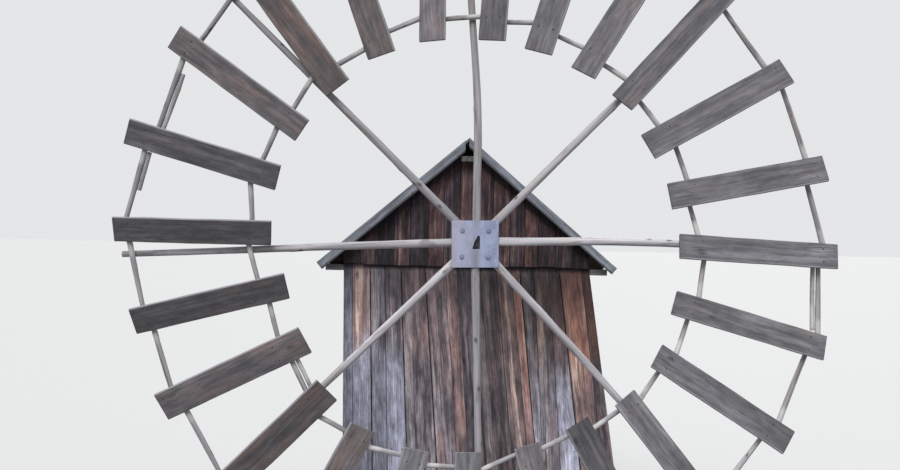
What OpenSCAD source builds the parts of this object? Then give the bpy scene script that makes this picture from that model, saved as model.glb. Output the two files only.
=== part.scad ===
// Wooden wind wheel mill: a narrow boarded hut with a gable roof, and in front of its gable
// a large wheel of pitched boards carried on eight peeled poles. Units are millimetres.
// X runs to the right seen from the front, Y from the wheel towards the back wall, Z up.
// The origin is on the ground, in the middle of the front sill and below the wheel's axis.

/* [Wheel] */
// Height of the wheel's axis above the ground
hub_h = 3950; // [3700:10:4800]
// Distance from the middle of the front sill to the plane of the spokes
wheel_reach = 970; // [760:10:1300]
// Radius from the axis to the outer ends of the vanes, on average
wheel_r = 3290; // [2700:10:3650]
// Number of spokes
spoke_count = 8; // [8:1:8]
// Diameter of a spoke at the hub
spoke_root_d = 80; // [65:1:100]
// Diameter of a spoke at its outer end
spoke_tip_d = 56; // [45:1:70]
// Distance that a spoke ends short of the outer ends of the vanes
spoke_short = 45; // [40:5:110]
// How far a crooked spoke strays sideways from a straight line
spoke_sway = 20; // [0:1:25]

/* [Vanes] */
// Number of vanes in the wheel
vane_count = 24; // [24:1:24]
// Length of a vane board
vane_len = 1440; // [1200:5:1700]
// Width of a vane board, on average
vane_w = 250; // [200:5:310]
// Thickness of a vane board
vane_t = 32; // [22:1:45]
// Angle between a vane board and the plane of the wheel
vane_pitch = 16; // [8:1:30]
// Width of the wedge under a vane, measured along the vane
wedge_len = 70; // [40:5:120]

/* [Rims] */
// Distance from the outer ends of the vanes in to the outer rim, on average
outer_rim_inset = 135; // [110:5:320]
// Distance from the inner ends of the vanes out to the inner rim, on average
inner_rim_inset = 210; // [190:5:320]
// Diameter of an inner rim pole at its thick end
rim_thick_d = 52; // [36:1:64]
// Diameter of a rim pole at its thin end
rim_thin_d = 42; // [28:1:50]
// Length over which two rim poles lie side by side behind a vane
rim_lap = 65; // [30:5:90]

/* [Hub and shaft] */
// Side of the square hub plates
hub_plate_w = 430; // [340:5:520]
// Thickness of a hub plate
hub_plate_t = 10; // [6:1:20]
// Diameter of the windshaft
shaft_d = 70; // [50:1:90]
// Height of the shaft's centre line above the beam under its bearing
bearing_rise = 70; // [65:1:110]
// Length of a bearing along the shaft
bearing_len = 110; // [80:5:136]
// Wall of a bearing around the shaft
bearing_wall = 28; // [20:1:30]

/* [Hut] */
// Width over the side walls at the eaves
hut_top_w = 2475; // [2000:5:2900]
// Width over the side walls at the ground
hut_base_w = 2970; // [2475:5:3400]
// Distance that the foot of the hut stands to the right of its head
hut_lean = 300; // [0:5:400]
// Distance that the hut's head stands to the left of the wheel's axis
hut_shift = 60; // [0:5:150]
// Depth over the frame from front to back
hut_depth = 2600; // [2000:10:3600]
// Thickness of the wall and gable boards
board_t = 28; // [18:1:40]
// Gap between the foot of the boards and the ground
board_foot = 15; // [5:1:60]

/* [Frame timbers] */
// Height of the sills
sill_h = 140; // [100:5:200]
// Width of the sills, tie beams and bearing beams along Y
beam_w = 140; // [136:1:180]
// Side of a corner post
post_w = 120; // [80:5:136]
// Height of a wall rail
rail_h = 100; // [60:5:160]
// Depth of a wall rail behind the boards
rail_t = 80; // [50:5:110]
// Height of a wall rail's underside above the ground
rail_z = 1800; // [800:10:2400]
// Height of a tie beam
tie_h = 60; // [45:5:120]
// Distance that a tie beam's end stands out past the side wall
tie_reach = 185; // [60:5:185]
// Height of a wall plate
plate_h = 80; // [60:5:110]
// Width of a wall plate
plate_w = 100; // [70:5:130]
// Height of the beams under the bearings
neck_beam_h = 90; // [70:5:100]

/* [Roof] */
// Slope of the roof
roof_pitch = 40.4; // [35:0.1:44]
// Distance from the side wall out to the roof's edge
eaves_reach = 252; // [200:1:320]
// Distance from the gable boards forward to the face of the barge boards
verge_reach = 150; // [80:5:220]
// Thickness of the roof boards
roof_t = 30; // [20:1:45]
// Width of a rafter
rafter_w = 60; // [45:1:80]
// Depth of a rafter, square to the slope
rafter_d = 140; // [120:5:160]
// Number of pairs of rafters
rafter_pairs = 5; // [3:1:8]
// Height of the notch that seats a rafter on its plate
rafter_notch = 44; // [20:1:55]
// Width of the ridge beam
ridge_w = 150; // [80:5:180]
// Height of the ridge beam, which lies flat
ridge_h = 52; // [30:1:90]
// Depth of the ridge beam's top below the top of the roof
ridge_drop = 185; // [170:5:200]
// Width of the left barge boards
barge_left_w = 88; // [60:1:140]
// Width of the right barge boards
barge_right_w = 80; // [60:1:140]
// Distance that the left barge boards stop short of the ridge
barge_short = 35; // [0:1:60]
// Thickness of a barge board
barge_t = 28; // [18:1:40]

/* [Hidden] */
// Gap that is left where a piece lies against a round or sloping neighbour
seat_gap = 0.3;
// Gap between two rim poles where they lie side by side
lap_gap = 0.5;
// Radial clearance of the shaft in its bearings
bearing_gap = 0.05;
// Clearance round the shaft in the gable boards
shaft_hole_gap = 20;
// Gap between a shaft collar and its bearing
collar_gap = 1;
// Width and height of a shaft collar
collar_t = 25;
collar_wall = 18;
// Length of the shaft that stands past the back hub plate
shaft_stub = 30;
// Distance from the shaft's tail to the back of the frame
shaft_tail = 8;
// Height of a bearing's foot
bearing_foot = 22;
// Angle by which the hub plates sit turned on the spokes
plate_turn = 1.2;
// Distance that a rafter's foot stops short of the roof's edge
rafter_short = 60;
// Gap between a bearing beam and the rafter next to it
rafter_clear = 10;
// Distance from a vane's edges to the ends of the wedges under it
wedge_edge = 20;
// Distance from a vane's centre line, on its anticlockwise side, to a rim pole's thick end
rim_lap_end = 10;
// Number of flats round a spoke
pole_sides = 12;
// Number of steps along a spoke
pole_steps = 10;

// Levels of the frame, from the shaft down
neck_top = hub_h - bearing_rise;
plate_top = neck_top - neck_beam_h;
eaves_h = plate_top - plate_h;
tie_bottom = eaves_h - tie_h;

// Faces of the frame along Y
frame_front = -beam_w / 2;
frame_back = frame_front + hut_depth;
verge_front = frame_front - 2 * board_t - verge_reach;
verge_back = frame_back + 2 * board_t + verge_reach;

// Roof lines
roof_x = -hut_shift;
roof_half = hut_top_w / 2 + eaves_reach;
plate_out = hut_top_w / 2 - board_t;
frame_inset = board_t + seat_gap;
under_boards = roof_t + seat_gap;
slope_drop = (rafter_d + under_boards) / cos(roof_pitch);
roof_top = plate_top - rafter_notch + slope_drop + plate_out * tan(roof_pitch);
ridge_top = roof_top - ridge_drop;

// Wheel radii
vane_in_r = wheel_r - vane_len;
outer_rim_r = wheel_r - outer_rim_inset;
inner_rim_r = vane_in_r + inner_rim_inset;
spoke_end_r = wheel_r - spoke_short;
shaft_r = shaft_d / 2;
spoke_root_r = spoke_root_d / 2;
spoke_start_r = 2 * shaft_r;

// Angle of each spoke off the even spacing, in degrees, counted anticlockwise from the right
spoke_off = [0.2, 0.7, 2.7, 1.1, 3.2, -0.5, 2.1, -1.7];
// Distance that each spoke's root sits to the anticlockwise side
spoke_side = [24, 10, -20, -20, -20, -10, -3, 18];
// Direction in which each spoke strays
spoke_bend = [1, 0.2, -2, -0.2, -0.2, 0.1, 0.1, 0.4];
// Angle of each vane's inner end off the even spacing
vane_in_off = [
    0.6, 0, 0.6, 0.2, -1.0, -1.9, -3.5, -1.8, -2.4, -2.4, -2.0, -2.4,
    -1.9, -1.4, 0.5, 0.7, -0.3, 0.2, -0.8, 0.6, 0.6, 0.4, -0.4, -0.2
];
// Angle of each vane's outer end off the even spacing
vane_out_off = [
    -0.8, -1.6, 0.3, 1.6, -1.1, -2.0, -3.3, -7.2, -5.7, -4.7, -3.4, -1.8,
    -1.2, -1.1, -1.4, 0.4, 0.8, 0, -0.8, 0.3, 0, -2.5, -1.2, -0.4
];
// Distance that each vane sits further out than the average
vane_slide = [
    0, -42, -57, -5, -23, -20, 0, 27, 54, 33, 27, 38,
    0, -104, -80, 33, 97, 80, 33, 33, 18, 90, 76, 23
];
// Width of each vane over the average
vane_spare = [
    -15, 0, 12, -10, 0, 18, 8, 0, 24, 22, -8, -5,
    -15, 0, 26, 28, 10, 0, -5, 5, 0, -12, -8, -18
];
// Distance of each rim from its average radius, behind each vane
outer_rim_off = [
    18, -55, -11, 35, 0, 5, 0, -5, 0, 59, 6, -40,
    54, -85, -80, 66, 0, 15, 20, 25, 35, 38, 52, 80
];
inner_rim_off = [
    30, -56, -30, -25, -22, 40, 4, 62, 18, 76, 30, 84,
    12, -80, -60, 75, 50, 8, 38, -95, -78, 5, 26, 30
];
// Side on which a pole's thick end lies past its neighbour behind each vane: 1 out, -1 in
outer_rim_side = [1, 1, -1, 1, 1, 1, 1, 1, 1, 1, 1, 1, -1, -1, -1, 1, 1, 1, 1, 1, 1, 1, 1, 1];
inner_rim_side = [-1, 1, -1, 1, 1, 1, 1, 1, -1, 1, 1, 1, 1, -1, -1, 1, 1, 1, 1, 1, 1, 1, 1, 1];
// Second poles against the inner side of rim poles: the pole's number, and the shares of its
// length from its thin end at which the second pole starts and stops
outer_doubles = [[10, 0.15, 0.75], [11, 0.5, 0.88], [23, 0.05, 0.85]];
inner_doubles = [[14, 0.1, 0.82]];
vane_sets = 8;
vanes_in_set = vane_count / vane_sets;

left = -1;
right = 1;

// Share of the way from the ground up to the eaves
function rise(z) = min(z / eaves_h, 1);
// Middle of the hut at a height
function hut_mid(z) = -hut_shift + hut_lean * (1 - rise(z));
// Half of the hut's width at a height
function hut_half(z) = (hut_base_w + (hut_top_w - hut_base_w) * rise(z)) / 2;
// Place of a side wall's face, or of a line inset from it, at a height
function side_x(side, z, inset = 0) = hut_mid(z) + side * (hut_half(z) - inset);
// Height of the roof's top surface, or of a layer below it, at a place
function roof_z(x, depth = 0) =
    roof_top - abs(x - roof_x) * tan(roof_pitch) - depth / cos(roof_pitch);

// Draws an outline of the front view as a slab between two places along Y
module along_y(y0, y1) {
    translate([0, y1, 0]) rotate([90, 0, 0]) linear_extrude(y1 - y0) children();
}

// Outline of a piece that follows a side wall between two heights
module side_strip(side, z0, z1, inset, thick) {
    polygon([
        [side_x(side, z0, inset), z0],
        [side_x(side, z1, inset), z1],
        [side_x(side, z1, inset + thick), z1],
        [side_x(side, z0, inset + thick), z0]
    ]);
}

// Outline of a piece that reaches from one side wall to the other
module cross_strip(z0, z1, inset) {
    polygon([
        [side_x(left, z0, inset), z0],
        [side_x(left, z1, inset), z1],
        [side_x(right, z1, inset), z1],
        [side_x(right, z0, inset), z0]
    ]);
}

// Outline of everything under a layer of the roof
module under_roof(depth) {
    half = hut_base_w;
    polygon([
        [roof_x, roof_z(roof_x, depth)],
        [roof_x - half, roof_z(roof_x - half, depth)],
        [roof_x - half, 0],
        [roof_x + half, 0],
        [roof_x + half, roof_z(roof_x + half, depth)]
    ]);
}

// Outline of a layer of the roof on one side, cut plumb at the ridge and square at the eaves
module slope_strip(side, depth, thick, x0, x1) {
    foot = x1 - thick * sin(roof_pitch);
    polygon([
        [roof_x + side * x0, roof_z(roof_x + x0, depth)],
        [roof_x + side * x1, roof_z(roof_x + x1, depth)],
        [roof_x + side * foot, roof_z(roof_x + foot, depth + thick)],
        [roof_x + side * x0, roof_z(roof_x + x0, depth + thick)]
    ]);
}

// Outline of a wall plate
module plate_outline(side) {
    side_strip(side, eaves_h, plate_top, board_t, plate_w);
}

module sill_across(y) {
    color("#6b5f55") along_y(y, y + beam_w) cross_strip(0, sill_h, frame_inset);
}

module sill_along(side) {
    color("#6b5f55")
        along_y(frame_front + beam_w, frame_back - beam_w)
            side_strip(side, 0, sill_h, frame_inset, beam_w);
}

module corner_post(side, y) {
    color("#75685c")
        along_y(y, y + post_w)
            side_strip(side, sill_h, tie_bottom, frame_inset, post_w);
}

// One rail on each wall, between the corner posts
module wall_rails() {
    color("#7a6c5e") {
        for (side = [left, right])
            along_y(frame_front + post_w, frame_back - post_w)
                side_strip(side, rail_z, rail_z + rail_h, frame_inset, rail_t);
        for (y = [frame_front, frame_back - rail_t])
            along_y(y, y + rail_t)
                cross_strip(rail_z, rail_z + rail_h, frame_inset + post_w + seat_gap);
    }
}

// A tie beam's ends stand out under the eaves
module tie_outline() {
    half = hut_top_w / 2 + tie_reach;
    translate([-hut_shift - half, tie_bottom]) square([2 * half, tie_h]);
}

module tie_beam(y) {
    color("#8f8a86") along_y(y, y + beam_w) tie_outline();
}

module wall_plate(side) {
    color("#7a6c5e") along_y(frame_front, frame_back) plate_outline(side);
}

module bearing_beam(y) {
    color("#6b5f55") along_y(y, y + beam_w) cross_strip(plate_top, neck_top, board_t);
}

// Pillow block with a foot, an upright body and a round head
module bearing(y) {
    head_r = shaft_r + bearing_wall;
    foot_half = 2 * head_r;
    color("#4a4b50")
        along_y(y + (beam_w - bearing_len) / 2, y + (beam_w + bearing_len) / 2)
            difference() {
                union() {
                    translate([-foot_half, neck_top]) square([2 * foot_half, bearing_foot]);
                    translate([-head_r, neck_top]) square([2 * head_r, bearing_rise]);
                    translate([0, hub_h]) circle(head_r, $fn = 64);
                }
                translate([0, hub_h]) circle(shaft_r + bearing_gap, $fn = 64);
            }
}

module ridge_beam() {
    color("#8f8a86")
        along_y(verge_front + barge_t, verge_back - barge_t)
            translate([roof_x - ridge_w / 2, ridge_top - ridge_h])
                square([ridge_w, ridge_h]);
}

// Pairs of rafters that meet over the ridge beam, notched over it and over the plates. Their
// feet are cut level with the tie beams.
module rafters() {
    first = frame_front + beam_w + rafter_clear;
    last = frame_back - beam_w - rafter_clear - rafter_w;
    step = (last - first) / (rafter_pairs - 1);
    color("#7a6c5e")
        for (i = [0:rafter_pairs - 1])
            for (side = [left, right])
                along_y(first + i * step, first + i * step + rafter_w)
                    difference() {
                        slope_strip(
                            side, under_boards, rafter_d, seat_gap / 2, roof_half - rafter_short
                        );
                        translate([roof_x - ridge_w / 2, 0]) square([ridge_w, ridge_top]);
                        plate_outline(side);
                        translate([-hut_base_w, 0]) square([2 * hut_base_w, tie_bottom]);
                    }
}

// End walls reach up behind the gable boards
module end_wall(y) {
    color("#8b7f7a")
        along_y(y, y + board_t)
            intersection() {
                union() {
                    cross_strip(board_foot, eaves_h, 0);
                    cross_strip(eaves_h, neck_top, 0);
                }
                under_roof(under_boards);
            }
}

// Side walls are notched round the ends of the tie beams
module side_wall(side) {
    color("#857a74")
        difference() {
            along_y(frame_front, frame_back)
                side_strip(side, board_foot, eaves_h, 0, board_t);
            for (y = [frame_front, frame_back - beam_w])
                along_y(y, y + beam_w) tie_outline();
        }
}

// Gable boards stop round the ridge beam and leave the little gap over it open
module gable_outline() {
    difference() {
        intersection() {
            under_roof(under_boards);
            translate([side_x(left, eaves_h), eaves_h])
                square([hut_top_w, roof_top - eaves_h]);
        }
        translate([roof_x - ridge_w / 2, ridge_top - ridge_h])
            square([ridge_w, roof_top - ridge_top + ridge_h]);
    }
}

module front_gable() {
    color("#5d4037")
        along_y(frame_front - 2 * board_t, frame_front - board_t)
            difference() {
                gable_outline();
                translate([0, hub_h]) circle(shaft_r + shaft_hole_gap, $fn = 48);
            }
}

module back_gable() {
    color("#5d4037")
        along_y(frame_back + board_t, frame_back + 2 * board_t) gable_outline();
}

module roof_side(side) {
    color("#77787c")
        along_y(verge_front + barge_t, verge_back - barge_t)
            slope_strip(side, 0, roof_t, 0, roof_half);
}

module barge_boards(y) {
    color("#8a8d94")
        along_y(y, y + barge_t) {
            slope_strip(left, 0, barge_left_w, barge_short, roof_half);
            slope_strip(right, 0, barge_right_w, seat_gap / 2, roof_half);
        }
}

// Places the wheel's own frame: X right, Y up and Z towards the front, round the axis
module in_wheel() {
    translate([0, -wheel_reach, hub_h]) rotate([90, 0, 0]) children();
}

// Radius of a spoke at a distance from the axis
function spoke_r(r) =
    (spoke_root_d + (spoke_tip_d - spoke_root_d)
        * (r - spoke_start_r) / (spoke_end_r - spoke_start_r)) / 2;
function spoke_angle(i) = 360 * i / spoke_count + spoke_off[i];

// Plane behind the rim poles, and thick ends that bring both rims to one front plane
inner_back_z = spoke_r(inner_rim_r) + seat_gap;
outer_back_z = spoke_r(outer_rim_r) + seat_gap;
inner_thick_r = rim_thick_d / 2;
outer_thick_r = inner_thick_r + (inner_back_z - outer_back_z) / 2;
rim_front_z = inner_back_z + 2 * inner_thick_r;
rim_thin_r = rim_thin_d / 2;

// A tapered pole along X that strays sideways in two gentle bends
module crooked_pole(x0, x1, r0, r1, sway) {
    points = [
        for (i = [0:pole_steps])
            let (
                t = i / pole_steps,
                r = r0 + (r1 - r0) * t,
                y = sway * (0.7 * sin(180 * t) * sin(180 * t) + 0.5 * sin(360 * t) * sin(180 * t))
            )
                for (j = [0:pole_sides - 1])
                    let (a = 360 * j / pole_sides)
                        [x0 + (x1 - x0) * t, y + r * cos(a), r * sin(a)]
    ];
    sides = [
        for (i = [0:pole_steps - 1])
            for (j = [0:pole_sides - 1])
                let (
                    k = (j + 1) % pole_sides,
                    a = i * pole_sides,
                    b = a + pole_sides
                )
                    each [[a + j, b + j, b + k], [a + j, b + k, a + k]]
    ];
    start_cap = [for (j = [0:pole_sides - 1]) j];
    end_cap = [for (j = [pole_sides - 1:-1:0]) pole_steps * pole_sides + j];
    polyhedron(points, concat(sides, [start_cap, end_cap]));
}

// Sector of the wheel that belongs to one spoke
module sector() {
    half = 180 / spoke_count;
    apex = seat_gap / 2 / sin(half);
    side = wheel_r * tan(half);
    linear_extrude(2 * spoke_root_d, center = true)
        polygon([[apex, 0], [apex + wheel_r, -side], [apex + wheel_r, side]]);
}

// A spoke's root is cut to a point between its neighbours, under the hub plates
module spoke(i) {
    color("#b9b4ad")
        in_wheel()
            intersection() {
                rotate(spoke_angle(i))
                    translate([0, spoke_side[i], 0])
                        crooked_pole(
                            spoke_start_r, spoke_end_r, spoke_root_r, spoke_tip_d / 2,
                            spoke_sway * spoke_bend[i]
                        );
                rotate(360 * i / spoke_count) sector();
            }
}

// Straight tapered pole from one point to another
module pole_between(p, q, rp, rq) {
    d = q - p;
    length = norm(d);
    translate(p)
        rotate([0, acos(d.z / length), atan2(d.y, d.x)])
            cylinder(h = length, r1 = rp, r2 = rq, $fn = 24);
}

// Ends of a vane's centre line, in the plane of the wheel
function vane_angle(k, off) = 360 * k / vane_count + off[k % vane_count];
function vane_end(k, r, off) = r * [cos(vane_angle(k, off)), sin(vane_angle(k, off))];
function vane_in(k) = vane_in_r + vane_slide[k % vane_count];
function vane_start(k) = vane_end(k, vane_in(k), vane_in_off);
function vane_tip(k) = vane_end(k, vane_in(k) + vane_len, vane_out_off);
// Direction of a vane, and the direction across it towards its anticlockwise edge
function vane_along(k) = (vane_tip(k) - vane_start(k)) / norm(vane_tip(k) - vane_start(k));
function vane_across(k) = [-vane_along(k).y, vane_along(k).x];
// Point of a vane's centre line at a distance from the axis
function vane_point(k, r) = vane_start(k) + vane_along(k) * (r - vane_in(k));

function vane_width(k) = vane_w + vane_spare[k % vane_count];
// Height of a vane's middle, so that its rear edge rests on the rims' front plane
function vane_z(k) = rim_front_z + seat_gap
    + vane_width(k) / 2 * sin(vane_pitch) + vane_t / 2 * cos(vane_pitch);
// Rear lower edge of a vane, measured across it from its middle
function vane_rear(k) = vane_width(k) / 2 * cos(vane_pitch) - vane_t / 2 * sin(vane_pitch);

module in_vane(k) {
    start = vane_start(k);
    along = vane_along(k);
    translate([start.x, start.y, 0]) rotate(atan2(along.y, along.x)) children();
}

module vane(k) {
    in_vane(k)
        translate([0, 0, vane_z(k)])
            rotate([-vane_pitch, 0, 0])
                translate([0, -vane_width(k) / 2, -vane_t / 2])
                    cube([vane_len, vane_width(k), vane_t]);
}

module vane_set(i) {
    color("#7b716d")
        in_wheel()
            for (k = [(i - 1) * vanes_in_set:i * vanes_in_set - 1]) vane(k);
}

// Wedge that fills the angle between a rim and a pitched vane
module vane_wedge(k) {
    low = rim_front_z + seat_gap;
    top = low - seat_gap / cos(vane_pitch);
    toe = vane_rear(k) - wedge_edge;
    heel = -toe;
    rotate([90, 0, 90])
        linear_extrude(wedge_len, center = true)
            polygon([
                [toe, low],
                [toe, top + (vane_rear(k) - toe) * tan(vane_pitch)],
                [heel, top + (vane_rear(k) - heel) * tan(vane_pitch)],
                [heel, low]
            ]);
}

module vane_wedges() {
    color("#8d8479")
        in_wheel()
            for (k = [0:vane_count - 1])
                for (r = [rim_r(k, inner_ring), rim_r(k, outer_ring)])
                    in_vane(k) translate([r - vane_in(k), 0, 0]) vane_wedge(k);
}

// Average radius of each rim, the radius of its poles' thick ends, its wanderings and laps
inner_ring = [inner_rim_r, inner_thick_r, inner_rim_off, inner_rim_side];
outer_ring = [outer_rim_r, outer_thick_r, outer_rim_off, outer_rim_side];
// Radius of a rim behind a vane
function rim_r(k, ring) = ring[0] + ring[2][k % vane_count];
function lap_side(k, ring) = ring[3][k % vane_count];

// Ends of the rim pole between a vane and the next one anticlockwise, in the wheel's plane
function rim_thick_at(k, ring) =
    vane_point(k, rim_r(k, ring) + lap_side(k, ring) * ring[1]) + rim_lap_end * vane_across(k);
// Direction of that pole. Its thin end is tried first on the ring, then against its neighbour.
function rim_dir(k, ring, tries) =
    let (
        thin = tries == 0
            ? vane_point(k + 1, rim_r(k + 1, ring) - lap_side(k + 1, ring) * ring[1])
                + rim_lap * vane_across(k + 1)
            : rim_thin_at(k, ring, tries - 1),
        d = rim_thick_at(k, ring) - thin
    )
        d / norm(d);
// The thin end lies against the side of the next pole, back from its thick end. Where the two
// poles close on each other towards that thick end, they touch there instead.
function rim_thin_at(k, ring, tries = 3) =
    let (
        next = rim_dir(k + 1, ring, tries),
        own = rim_dir(k, ring, tries),
        inward = [next.y, -next.x],
        pole_len = 2 * PI * ring[0] / vane_count,
        taper = (ring[1] - rim_thin_r) * rim_lap / pole_len,
        thick_here = ring[1] - taper,
        turn = next * own,
        closing = -lap_side(k + 1, ring) * cross(own, next),
        across = closing > 0
            ? ring[1] + (rim_thin_r + taper + lap_gap + rim_lap * closing) / turn
            : thick_here + rim_thin_r * turn + lap_gap,
        step = thick_here - rim_thin_r
    )
        rim_thick_at(k + 1, ring) - rim_lap * next
            + lap_side(k + 1, ring) * sqrt(across * across - step * step) * inward;

// Pole against the inner side of a rim pole, between two shares of that pole's length
module double_pole(k, ring, back_z, start, stop) {
    thin_at = rim_thin_at(k, ring);
    run = rim_thick_at(k, ring) - thin_at;
    inward = [run.y, -run.x] / norm(run);
    ends = [
        for (share = [start, stop])
            let (
                step = (ring[1] - rim_thin_r) * share,
                reach = 2 * rim_thin_r + step + lap_gap,
                at = thin_at + run * share + sqrt(reach * reach - step * step) * inward
            )
                [at.x, at.y, back_z + rim_thin_r]
    ];
    pole_between(ends[0], ends[1], rim_thin_r, rim_thin_r);
}

// Ring of short poles, each from behind one vane to behind the next anticlockwise
module rim(ring, back_z, doubles) {
    for (k = [0:vane_count - 1]) {
        thin_at = rim_thin_at(k, ring);
        thick_at = rim_thick_at(k, ring);
        pole_between(
            [thin_at.x, thin_at.y, back_z + rim_thin_r],
            [thick_at.x, thick_at.y, back_z + ring[1]],
            rim_thin_r, ring[1]
        );
    }
    for (d = doubles) double_pole(d[0], ring, back_z, d[1], d[2]);
}

module inner_rim() {
    color("#b4aea4") in_wheel() rim(inner_ring, inner_back_z, inner_doubles);
}

module outer_rim() {
    color("#b4aea4") in_wheel() rim(outer_ring, outer_back_z, outer_doubles);
}

// Steel shaft with a collar on each side of the front bearing
module windshaft() {
    plate_z = -spoke_root_r - seat_gap;
    tail_z = -wheel_reach - frame_back + shaft_tail;
    neck_z = -wheel_reach;
    color("#55565b")
        in_wheel() {
            translate([0, 0, tail_z])
                cylinder(h = plate_z + shaft_stub - tail_z, r = shaft_r, $fn = 64);
            for (z = [
                neck_z + bearing_len / 2 + collar_gap,
                neck_z - bearing_len / 2 - collar_gap - collar_t
            ])
                translate([0, 0, z])
                    cylinder(h = collar_t, r = shaft_r + collar_wall, $fn = 64);
        }
}

// Front hub plate with the wedge-shaped hole that shows at its middle
module hub_plate_front() {
    hole = [[26, 78], [44, 72], [44, -46], [-26, -46], [-8, 18]];
    color("#a5aac8")
        in_wheel()
            translate([0, 0, spoke_root_r + seat_gap])
                rotate(plate_turn)
                    linear_extrude(hub_plate_t)
                        difference() {
                            square(hub_plate_w, center = true);
                            polygon(hole);
                        }
}

// Back hub plate, through which the shaft passes
module hub_plate_back() {
    color("#8d92a8")
        in_wheel()
            translate([0, 0, -spoke_root_r - seat_gap - hub_plate_t])
                rotate(plate_turn)
                    difference() {
                        translate([-hub_plate_w / 2, -hub_plate_w / 2, 0])
                            cube([hub_plate_w, hub_plate_w, hub_plate_t]);
                        translate([0, 0, -1])
                            cylinder(h = hub_plate_t + 2, r = shaft_r + bearing_gap, $fn = 64);
                    }
}

sill_across(frame_front);  // sill_front
sill_across(frame_back - beam_w);  // sill_back
sill_along(left);  // sill_left
sill_along(right);  // sill_right
corner_post(left, frame_front);  // post_front_left
corner_post(right, frame_front);  // post_front_right
corner_post(left, frame_back - post_w);  // post_back_left
corner_post(right, frame_back - post_w);  // post_back_right
wall_rails();
tie_beam(frame_front);  // tie_front
tie_beam(frame_back - beam_w);  // tie_back
wall_plate(left);  // plate_left
wall_plate(right);  // plate_right
bearing_beam(frame_front);  // neck_beam
bearing_beam(frame_back - beam_w);  // tail_beam
bearing(frame_front);  // neck_bearing
bearing(frame_back - beam_w);  // tail_bearing
ridge_beam();
rafters();
end_wall(frame_front - board_t);  // front_wall
end_wall(frame_back);  // back_wall
side_wall(left);  // left_wall
side_wall(right);  // right_wall
front_gable();
back_gable();
roof_side(left);  // roof_left
roof_side(right);  // roof_right
barge_boards(verge_front);  // barge_front
barge_boards(verge_back - barge_t);  // barge_back
windshaft();
hub_plate_front();
hub_plate_back();
inner_rim();
outer_rim();
vane_wedges();
for (i = [1:spoke_count])
    spoke(i - 1);
for (i = [1:vane_sets])
    vane_set(i);
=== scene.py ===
import math

import bmesh
import bpy
import numpy as np
from mathutils import Matrix, Vector


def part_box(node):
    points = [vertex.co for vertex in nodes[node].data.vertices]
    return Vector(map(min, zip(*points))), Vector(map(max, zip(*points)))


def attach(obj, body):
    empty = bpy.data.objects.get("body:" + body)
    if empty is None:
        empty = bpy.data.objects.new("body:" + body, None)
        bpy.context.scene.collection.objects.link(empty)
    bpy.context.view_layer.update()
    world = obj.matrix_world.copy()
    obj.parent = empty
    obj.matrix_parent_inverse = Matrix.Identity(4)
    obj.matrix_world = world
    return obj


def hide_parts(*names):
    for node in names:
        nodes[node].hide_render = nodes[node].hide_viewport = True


# Looks of the wind wheel mill: separate weathered boards, peeled poles, nails and bolts round
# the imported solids. Lengths are metres in the frame of the solids. A board's own axes are
# along it, across it and out of its face.

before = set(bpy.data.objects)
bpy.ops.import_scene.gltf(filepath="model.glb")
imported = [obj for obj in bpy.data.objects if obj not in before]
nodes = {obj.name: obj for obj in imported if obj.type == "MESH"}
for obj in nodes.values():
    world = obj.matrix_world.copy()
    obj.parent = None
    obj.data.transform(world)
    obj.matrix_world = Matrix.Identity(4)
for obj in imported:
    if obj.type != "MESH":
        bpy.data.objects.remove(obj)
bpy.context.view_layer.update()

# Hut, as in the solids
HUB = np.array([0.0, -0.97, 3.95])
EAVES = 3.71
WALL_HEAD = 3.85
TOP_HALF = 2.475 / 2
BASE_HALF = 2.970 / 2
LEAN = 0.300
ROOF_X = -0.060
FRAME_FRONT = -0.070
FRAME_BACK = 2.530
BOARD_T = 0.028
ROOF_T = 0.030
BOARD_FOOT = 0.015
BARGE_T = 0.028
PITCH = math.radians(40.4)
TIE_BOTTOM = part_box("tie_front")[0].z
ROOF_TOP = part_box("roof_left")[1].z
ROOF_HALF = ROOF_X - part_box("roof_left")[0].x
VERGE_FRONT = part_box("barge_front")[0].y
VERGE_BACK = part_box("barge_back")[1].y
RIDGE_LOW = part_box("ridge_beam")[0].z
RIDGE_HALF = (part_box("ridge_beam")[1].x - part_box("ridge_beam")[0].x) / 2
SHAFT_HOLE = 0.055
LEFT, RIGHT = -1, 1
AXIS_X = np.array([1.0, 0, 0])
AXIS_Y = np.array([0, 1.0, 0])
AXIS_Z = np.array([0, 0, 1.0])


def hut_mid(z):
    return ROOF_X + LEAN * (1 - np.minimum(z / EAVES, 1))


def hut_half(z):
    return BASE_HALF + (TOP_HALF - BASE_HALF) * np.minimum(z / EAVES, 1)


def side_x(side, z):
    return hut_mid(z) + side * hut_half(z)


def roof_under(x):
    return ROOF_TOP - np.abs(x - ROOF_X) * math.tan(PITCH) - ROOF_T / math.cos(PITCH)


# Directions of unit length
def unit(v):
    return v / np.linalg.norm(v, axis=-1, keepdims=True)


# Slow irregular waves of about unit height along a length
def waves(s, seed, length):
    rng = np.random.RandomState(seed)
    out = 0
    for k in range(1, 4):
        turn = 2 * math.pi * k * rng.uniform(0.7, 1.2) / length
        out = out + np.sin(np.asarray(s) * turn + rng.uniform(0, 6.28)) / k
    return out / 1.5


# Gives every point of a mesh a vector that its material reads
def write_attribute(mesh, key, values):
    layer = mesh.attributes.new(key, "FLOAT_VECTOR", "POINT")
    layer.data.foreach_set("vector", values.astype(np.float32).ravel())


SHARP = math.radians(38)


# New object in the scene
def placed(name, data):
    obj = bpy.data.objects.new(name, data)
    bpy.context.scene.collection.objects.link(obj)
    return obj


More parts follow.
